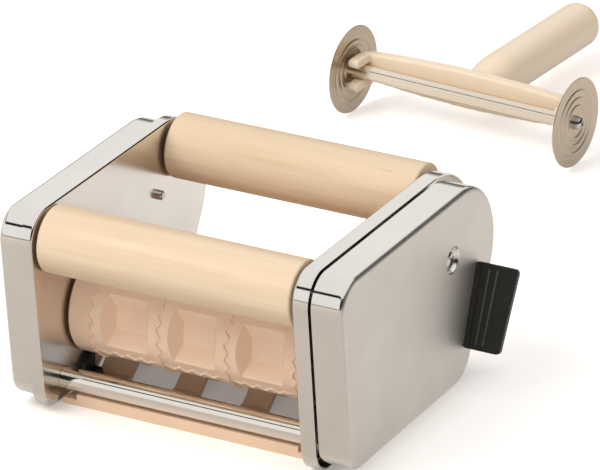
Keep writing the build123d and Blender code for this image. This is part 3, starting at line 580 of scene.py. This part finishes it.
def forming_roller(name, node, body, first_pocket):
    """A roller worked out as radius over x and turn. Columns follow each pocket's side walls,
    each rib round the roller and each rib along it, so every edge lies on a grid line."""
    low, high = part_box(node)
    centre = middle(node)
    half_length = (high.x - low.x) / 2 / MM
    quarter = 2 * pi / POCKET_ROWS
    mouth_turn = np.arctan2(POCKET_MOUTH[1] / 2, POCKET_MOUTH_HEIGHT)
    floor_turn = np.arctan2(POCKET_FLOOR[1] / 2, POCKET_FLOOR_HEIGHT)
    # turns within one row, from one pocket's middle to the next
    land = (quarter - 2 * mouth_turn) / 2
    rib_arc = np.array([p[0] for p in RIB_PROFILE]) / LAND_RADIUS
    row_turns = np.concatenate([
        np.linspace(-floor_turn, floor_turn, 9),
        np.linspace(floor_turn, mouth_turn, 9)[1:],
        quarter / 2 + rib_arc,
        np.linspace(-mouth_turn, -floor_turn, 9)[:-1] + quarter,
    ])
    rib_lift = np.concatenate([np.zeros(17), [p[1] for p in RIB_PROFILE], np.zeros(8)])
    near_rib = np.concatenate([np.zeros(17), np.ones(len(RIB_PROFILE)), np.zeros(8)])
    turns = np.concatenate([row_turns + quarter * row for row in range(POCKET_ROWS)])
    lift_along = np.tile(rib_lift, POCKET_ROWS)
    rib_share = np.tile(near_rib, POCKET_ROWS)
    local = (turns + mouth_turn + 1e-9) % quarter - mouth_turn
    in_pocket = np.abs(local) <= mouth_turn + 1e-6
    floor_radius = np.where(in_pocket, pocket_depth_height(np.clip(local, -mouth_turn, mouth_turn)),
                            LAND_RADIUS)
    # where a pocket's side wall starts at the land and ends on its floor, from its middle
    steep = (LAND_RADIUS - POCKET_FLOOR_HEIGHT) / (POCKET_MOUTH[0] / 2 - POCKET_FLOOR[0] / 2)
    safe = np.clip(local, -mouth_turn, mouth_turn)
    wall_top = POCKET_FLOOR[0] / 2 + (LAND_RADIUS * np.cos(safe) - POCKET_FLOOR_HEIGHT) / steep
    wall_foot = POCKET_FLOOR[0] / 2 + (floor_radius * np.cos(safe) - POCKET_FLOOR_HEIGHT) / steep
    wall_foot = np.minimum(wall_foot, wall_top - 0.05)
    rows = len(turns)
    columns = []                        # (x, radius, lift along the axis ribs counts)

    def column(x, radius, rib_free=0.0):
        columns.append((np.broadcast_to(x, rows), np.broadcast_to(radius, rows), rib_free))

    wave = zigzag(turns * TEETH_AROUND / (2 * pi)) * TOOTH_SWING
    edge = LAND_RADIUS - ROLLER_CHAMFER
    column(-half_length, edge, 1.0)
    column(-half_length + ROLLER_CHAMFER, LAND_RADIUS, 1.0)
    for rib in range(POCKET_COLUMNS + 1):
        rib_x = (rib - POCKET_COLUMNS / 2) * POCKET_PITCH
        for offset, height in RIB_PROFILE:
            column(rib_x + offset + wave, LAND_RADIUS + RIB_HEIGHT * height, 1.0)
        if rib == POCKET_COLUMNS:
            break
        pocket_x = rib_x + POCKET_PITCH / 2
        for share in (0.0, 0.5):
            column(pocket_x - wall_top - (1 - share) * 1.6, LAND_RADIUS)
        column(pocket_x - wall_top, LAND_RADIUS)
        for share in np.linspace(-1, 1, 29):
            column(pocket_x + share * wall_foot, floor_radius)
        column(pocket_x + wall_top, LAND_RADIUS)
        for share in (0.5, 0.0):
            column(pocket_x + wall_top + (1 - share) * 1.6, LAND_RADIUS)
    column(half_length - ROLLER_CHAMFER, LAND_RADIUS, 1.0)
    column(half_length, edge, 1.0)
    x = np.stack([c[0] for c in columns])
    radius = np.stack([c[1] for c in columns])
    plain = np.array([c[2] for c in columns])[:, None]
    swing = zigzag(x / TOOTH_LENGTH) * TOOTH_SWING / LAND_RADIUS * rib_share
    angle = turns + np.where(plain > 0, 0.0, swing) + first_pocket
    radius = radius + np.where(plain > 0, 0.0, RIB_HEIGHT * lift_along)
    points = np.stack([x, radius * np.cos(angle), radius * np.sin(angle)], -1) * MM
    bore = np.stack([x[[0, -1]], SHAFT_BORE * np.cos(angle[[0, -1]]),
                     SHAFT_BORE * np.sin(angle[[0, -1]])], -1) * MM
    grid = np.concatenate([bore[:1], points, bore[1:], bore[:1]]) + centre
    out = grid - centre
    out[..., 0] = 0
    out[0] = out[-1] = out[-2] = 0
    out[1, :, 0] = -MM
    patches = [
        (grid[1:-2].reshape(-1, 3), out[1:-2].reshape(-1, 3), quads(len(columns), rows)),
        (grid[:2].reshape(-1, 3), np.tile((-1.0, 0, 0), (2 * rows, 1)), quads(2, rows)),
        (grid[-3:-1].reshape(-1, 3), np.tile((1.0, 0, 0), (2 * rows, 1)), quads(2, rows)),
        (grid[-2:].reshape(-1, 3), np.tile(-(points[0] - points[0].mean(0)), (2, 1)),
         quads(2, rows)),
    ]
    return piece(name, patches, body, MATERIALS["forming_plastic"], [node],
                 sharp=28)


forming_roller("front_pocket_roller", "front_forming_roller", "front_former", radians(-6.5))
forming_roller("rear_pocket_roller", "rear_forming_roller", "rear_former", radians(166.5))

# ---------------------------------------------------------------- comb, clips and guides


def soften(node, width, segments=2, limit=25):
    """Rounds the edges of a node that keeps its own shape."""
    weld = node.modifiers.new("weld", "WELD")
    weld.merge_threshold = WELD
    bevel = node.modifiers.new("rounded edges", "BEVEL")
    bevel.width = width * MM
    bevel.segments = segments
    bevel.limit_method = "ANGLE"
    bevel.angle_limit = radians(limit)
    bevel.harden_normals = True


for soft_name, soft_width in (("base_comb", 0.4), ("left_comb_clip", 0.3), ("right_comb_clip", 0.3),
                              ("left_slide_guide", 0.25), ("right_slide_guide", 0.25)):
    soften(nodes[soft_name], soft_width)

GUIDE_BOTTOM, GUIDE_TOP = (54.7, 24.3), (69.8, 67.3)     # the guides' root lines
GUIDE_RIDGES = [(6.7, 7.7), (10.6, 12.4)]                # how far out each ridge starts and ends
RIDGE_RADIUS, RIDGE_TIP_RADIUS, RIDGE_TIP = 0.5, 0.3, 0.0003
RIDGE_INSET = 0.06                     # share of the root line left free at each end


def make_guide_ridges():
    """Thin rounded ridges on the front face of each guide, almost parallel to its root."""
    root = np.array([GUIDE_BOTTOM, GUIDE_TOP])
    for side, face, outward in (("left", left_face, -1), ("right", right_face, 1)):
        for number, reaches in enumerate(GUIDE_RIDGES):
            start, end = [np.array([face + outward * reach * MM, *(machine[1:] + point * MM)])
                          for reach, point in zip(reaches, root + RIDGE_INSET * (root[::-1] - root))]
            length = np.linalg.norm(end - start)
            profile = [(0, 0), (0, RIDGE_TIP_RADIUS), (RIDGE_TIP, RIDGE_RADIUS),
                       (length - RIDGE_TIP, RIDGE_RADIUS), (length, RIDGE_TIP_RADIUS), (length, 0)]
            points = [(x, r * MM) for x, r in profile]
            runs = [list(pair) for pair in zip(points, points[1:])]
            piece(f"{side}_guide_ridge_{number + 1}", round_about(start, end - start, runs, 16),
                  "frame", RIDGE_HIGHLIGHT_BLACK)


make_guide_ridges()

# ---------------------------------------------------------------- wheel cutter
CUTTER_TURN = -4.35
DISC_THICKNESS = 0.6
DISC_RINGS = [(9.6, 1.6), (14.0, 1.6), (18.5, 1.6)]
RING_HEIGHT = 0.5
DISC_BORE = 2.92
DISC_PLACE = 73.8                      # from the middle of the axle to the middle of a disc
AXLE_RADIUS, AXLE_END_RADIUS = 4.4, 2.9
cutter_middle = middle("cutter_axle")
cutter_along = np.array([cos(radians(CUTTER_TURN)), sin(radians(CUTTER_TURN)), 0.0])


def make_disc(name, node, outward):
    """A thin sheet disc: its middle surface stands out by a cosine bump at each pressed ring."""
    low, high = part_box(node)
    radius = (high.z - low.z) / 2 / MM
    centre = cutter_middle.copy()
    half = DISC_PLACE * outward
    reach = np.unique(np.concatenate([[DISC_BORE, radius - 0.2]]
                                     + [np.linspace(r - w, r + w, 13) for r, w in DISC_RINGS]))
    swell = sum(np.where(np.abs(reach - r) < w, 0.5 + 0.5 * np.cos(pi * (reach - r) / w), 0)
                for r, w in DISC_RINGS) * RING_HEIGHT * outward
    thick = DISC_THICKNESS / 2
    left = [(half + s - thick, r) for s, r in zip(swell, reach)]
    right = [(half + s + thick, r) for s, r in zip(swell, reach)][::-1]
    runs = [left, [(half - thick, radius - 0.2), (half - thick + 0.2, radius)],
            [(half - thick + 0.2, radius), (half + thick - 0.2, radius)],
            [(half + thick - 0.2, radius), (half + thick, radius - 0.2)], right,
            [(half + thick, DISC_BORE), (half - thick, DISC_BORE)]]
    runs = [[(x * MM, r * MM) for x, r in run] for run in runs]
    piece(name, round_about(centre, cutter_along, runs), "cutter_wheels",
          MATERIALS["disc_steel"], [node])


make_disc("left_wheel", "left_cutter_disc", -1)
make_disc("right_wheel", "right_cutter_disc", 1)


def make_cutter_rod():
    """The axle: a thick middle and thinner ends that carry the discs."""
    shoulder = DISC_PLACE - DISC_THICKNESS / 2
    tip = DISC_PLACE + DISC_THICKNESS / 2
    radius, end = AXLE_RADIUS, AXLE_END_RADIUS
    runs = [[(-tip, 0), (-tip, end)], [(-tip, end), (-shoulder, end)],
            [(-shoulder, end), (-shoulder, radius)], [(-shoulder, radius), (shoulder, radius)],
            [(shoulder, radius), (shoulder, end)], [(shoulder, end), (tip, end)],
            [(tip, end), (tip, 0)]]
    runs = [[(x * MM, r * MM) for x, r in run] for run in runs]
    piece("cutter_rod", round_about(cutter_middle, cutter_along, runs), "cutter_wheels",
          MATERIALS["cutter_rod_steel"], ["cutter_axle"])


make_cutter_rod()


def make_handle():
    """The yoke and handle: the solid's own form, remeshed and relaxed until its joins flow."""
    mesh = nodes["cutter_handle"].data.copy()
    work = bmesh.new()
    work.from_mesh(mesh)
    bmesh.ops.remove_doubles(work, verts=work.verts, dist=WELD)
    work.to_mesh(mesh)
    work.free()
    made = bpy.data.objects.new("handle_work", mesh)
    bpy.context.scene.collection.objects.link(made)
    remesh = made.modifiers.new("remesh", "REMESH")
    remesh.mode = "VOXEL"
    remesh.voxel_size = 0.7 * MM
    relax = made.modifiers.new("relax", "SMOOTH")
    relax.factor = 0.5
    relax.iterations = 8
    ready = made.evaluated_get(bpy.context.evaluated_depsgraph_get())
    final = bpy.data.meshes.new_from_object(ready)
    final.name = "handle"
    bpy.data.objects.remove(made)
    final.materials.clear()
    final.shade_smooth()
    place_piece("handle", final, "cutter", MATERIALS["handle_plastic"],
                ["cutter_handle"])


make_handle()

# ---------------------------------------------------------------- stage, light and camera
CAMERA_PLACE = (1223.2, -2254.4, 1247.2)       # from the machine's middle, in millimetres
CAMERA_AZIMUTH, CAMERA_ELEVATION = 27.85, 24.3
LENS = 330.0


def painted_shade_lift(tree):
    """How much the camera's view of the floor is lifted: little under the machine, which paints shade
    on the floor there, more on the open floor. The place is the larger of |x| and |y| over the
    machine's half size."""
    where = tree.nodes.new("ShaderNodeTexCoord")
    mapping = tree.nodes.new("ShaderNodeMapping")
    half_size = (0.098, 0.080, 1.0)
    mapping.inputs["Location"].default_value = [-m / h for m, h in zip(machine, half_size)]
    mapping.inputs["Scale"].default_value = [1 / h for h in half_size]
    size = tree.nodes.new("ShaderNodeVectorMath")
    size.operation = "ABSOLUTE"
    parts = tree.nodes.new("ShaderNodeSeparateXYZ")
    larger = tree.nodes.new("ShaderNodeMath")
    larger.operation = "MAXIMUM"
    lift = tree.nodes.new("ShaderNodeMapRange")
    lift.inputs["From Min"].default_value = 0.85
    lift.inputs["From Max"].default_value = 1.15
    lift.inputs["To Min"].default_value = 0.16
    lift.inputs["To Max"].default_value = 0.42
    tree.links.new(where.outputs["Object"], mapping.inputs["Vector"])
    tree.links.new(mapping.outputs["Vector"], size.inputs[0])
    tree.links.new(size.outputs["Vector"], parts.inputs["Vector"])
    tree.links.new(parts.outputs["X"], larger.inputs[0])
    tree.links.new(parts.outputs["Y"], larger.inputs[1])
    tree.links.new(larger.outputs[0], lift.inputs["Value"])
    return lift.outputs["Result"]


def make_floor():
    """A wide pale floor that keeps the shadows and shows white to the camera and to metal."""
    size = 30.0
    mesh = bpy.data.meshes.new("floor")
    mesh.from_pydata([(-size, -size, 0), (size, -size, 0), (size, size, 0), (-size, size, 0)],
                     [], [(0, 1, 2, 3)])
    floor = bpy.data.objects.new("floor", mesh)
    bpy.context.scene.collection.objects.link(floor)
    material, tree, shader = new_material("pale floor")
    tone = tree.nodes.new("ShaderNodeMix")     # paler to the camera, so shadows stay soft
    tone.data_type = "RGBA"
    tone.inputs["A"].default_value = (0.64, 0.61, 0.585, 1)
    tone.inputs["B"].default_value = (0.97, 0.93, 0.90, 1)
    tree.links.new(tone.outputs["Result"], shader.inputs["Base Color"])
    shader.inputs["Roughness"].default_value = 0.9
    shader.inputs["Specular IOR Level"].default_value = 0.0
    path = tree.nodes.new("ShaderNodeLightPath")
    seen = tree.nodes.new("ShaderNodeMath")
    seen.operation = "MAXIMUM"
    tree.links.new(path.outputs["Is Camera Ray"], seen.inputs[0])
    tree.links.new(path.outputs["Is Transmission Ray"], seen.inputs[1])
    lift = tree.nodes.new("ShaderNodeMath")
    lift.operation = "MULTIPLY_ADD"
    # lower lift under the machine: painted shade on the floor
    tree.links.new(painted_shade_lift(tree), lift.inputs[1])
    where = tree.nodes.new("ShaderNodeTexCoord")
    parts = tree.nodes.new("ShaderNodeSeparateXYZ")
    tree.links.new(where.outputs["Object"], parts.inputs["Vector"])
    sweep = tree.nodes.new("ShaderNodeMapRange")       # mirrors see it brighter further back
    sweep.inputs["From Min"].default_value = machine[1] - 0.085
    sweep.inputs["From Max"].default_value = machine[1] - 0.035
    sweep.inputs["To Min"].default_value = 0.0
    sweep.inputs["To Max"].default_value = 0.38
    tree.links.new(parts.outputs["Y"], sweep.inputs["Value"])
    gloss = tree.nodes.new("ShaderNodeMath")
    gloss.operation = "MULTIPLY"
    tree.links.new(sweep.outputs["Result"], gloss.inputs[1])
    tree.links.new(path.outputs["Is Glossy Ray"], gloss.inputs[0])
    tree.links.new(seen.outputs[0], lift.inputs[0])
    tree.links.new(seen.outputs[0], tone.inputs["Factor"])
    tree.links.new(gloss.outputs[0], lift.inputs[2])
    shader.inputs["Emission Color"].default_value = (1, 0.99, 0.98, 1)
    tree.links.new(lift.outputs[0], shader.inputs["Emission Strength"])
    mesh.materials.append(material)


def room_ramp(tree, height, stops):
    """Brightness of the mirrored room over the height of a direction, from -1 down to 1 up."""
    share = tree.nodes.new("ShaderNodeMapRange")
    share.inputs["From Min"].default_value = -1
    share.inputs["From Max"].default_value = 1
    tree.links.new(height, share.inputs["Value"])
    return ramp(tree, share.outputs["Result"], [((z + 1) / 2, colour) for z, colour in stops])


def make_world():
    """Soft room light. Metal sees a white room on the left with a thin dark line well above the
    horizon, and a dark wall on the right with white above it."""
    world = bpy.data.worlds.new("studio")
    bpy.context.scene.world = world
    world.use_nodes = True
    tree = world.node_tree
    tree.nodes.clear()
    output = tree.nodes.new("ShaderNodeOutputWorld")
    light = tree.nodes.new("ShaderNodeBackground")
    light.inputs["Color"].default_value = (1.0, 0.985, 0.96, 1)
    light.inputs["Strength"].default_value = 0.5
    seen = tree.nodes.new("ShaderNodeBackground")
    seen.inputs["Color"].default_value = (1, 1, 1, 1)
    room = tree.nodes.new("ShaderNodeBackground")
    where = tree.nodes.new("ShaderNodeTexCoord")
    parts = tree.nodes.new("ShaderNodeSeparateXYZ")
    tree.links.new(where.outputs["Generated"], parts.inputs["Vector"])
    white, grey = (1.0, 1.0, 1.0), (0.72, 0.71, 0.69)
    shade, dark = (0.16, 0.155, 0.15), (0.012, 0.012, 0.012)
    height = parts.outputs["Z"]
    left = room_ramp(tree, height, [(-1, grey), (0.0, grey), (0.03, white), (0.58, white),
                                    (0.60, dark), (0.68, dark), (0.71, white), (1, white)])
    right = room_ramp(tree, height, [(-1, grey), (-0.02, grey), (0.0, dark), (0.58, dark),
                                     (0.64, white), (1, white)])
    back = room_ramp(tree, height, [(-1, grey), (-0.01, grey), (0.01, shade), (0.12, shade),
                                    (0.30, white), (1, white)])
    to_right = tree.nodes.new("ShaderNodeMapRange")
    to_right.inputs["From Min"].default_value = 0.04
    to_right.inputs["From Max"].default_value = 0.10
    tree.links.new(parts.outputs["X"], to_right.inputs["Value"])
    to_back = tree.nodes.new("ShaderNodeMapRange")
    to_back.inputs["From Min"].default_value = 0.0
    to_back.inputs["From Max"].default_value = 0.2
    tree.links.new(parts.outputs["Y"], to_back.inputs["Value"])
    sides = tree.nodes.new("ShaderNodeMix")
    sides.data_type = "RGBA"
    tree.links.new(to_back.outputs["Result"], sides.inputs["Factor"])
    tree.links.new(left, sides.inputs["A"])
    tree.links.new(back, sides.inputs["B"])
    whole = tree.nodes.new("ShaderNodeMix")
    whole.data_type = "RGBA"
    tree.links.new(to_right.outputs["Result"], whole.inputs["Factor"])
    tree.links.new(sides.outputs["Result"], whole.inputs["A"])
    tree.links.new(right, whole.inputs["B"])
    tree.links.new(whole.outputs["Result"], room.inputs["Color"])
    path = tree.nodes.new("ShaderNodeLightPath")
    shiny = tree.nodes.new("ShaderNodeMath")
    shiny.operation = "MAXIMUM"
    tree.links.new(path.outputs["Is Glossy Ray"], shiny.inputs[0])
    tree.links.new(path.outputs["Is Transmission Ray"], shiny.inputs[1])
    first = tree.nodes.new("ShaderNodeMixShader")
    tree.links.new(shiny.outputs[0], first.inputs["Fac"])
    tree.links.new(light.outputs[0], first.inputs[1])
    tree.links.new(room.outputs[0], first.inputs[2])
    second = tree.nodes.new("ShaderNodeMixShader")
    tree.links.new(path.outputs["Is Camera Ray"], second.inputs["Fac"])
    tree.links.new(first.outputs[0], second.inputs[1])
    tree.links.new(seen.outputs[0], second.inputs[2])
    tree.links.new(second.outputs[0], output.inputs["Surface"])


def make_lamp(name, place, aim, size, power, colour=(1.0, 0.97, 0.93)):
    """A soft square lamp that lights the object and isn't mirrored in it."""
    lamp = bpy.data.lights.new(name, "AREA")
    lamp.size = size
    lamp.energy = power
    lamp.color = colour
    holder = bpy.data.objects.new(name, lamp)
    holder.location = place
    holder.rotation_euler = (Vector(aim) - Vector(place)).to_track_quat("-Z", "Y").to_euler()
    holder.visible_glossy = False
    bpy.context.scene.collection.objects.link(holder)


def make_camera():
    camera = bpy.data.cameras.new("camera")
    camera.lens = LENS
    camera.sensor_width = 36.0
    camera.clip_end = 100.0
    holder = bpy.data.objects.new("camera", camera)
    holder.location = Vector(machine + np.array(CAMERA_PLACE) * MM)
    holder.rotation_euler = (radians(90 - CAMERA_ELEVATION), 0, radians(CAMERA_AZIMUTH))
    bpy.context.scene.collection.objects.link(holder)
    bpy.context.scene.camera = holder


make_floor()
make_world()
make_lamp("key", (-0.9, -1.1, 1.7), (0, 0, 0.05), 1.2, 28)
make_lamp("fill", (1.6, -0.6, 1.2), (0, 0, 0.05), 1.0, 6)
make_lamp("front", (0.3, -2.0, 0.45), (0, -0.2, 0.03), 1.0, 7)
make_camera()
bpy.context.scene.view_settings.view_transform = "Standard"
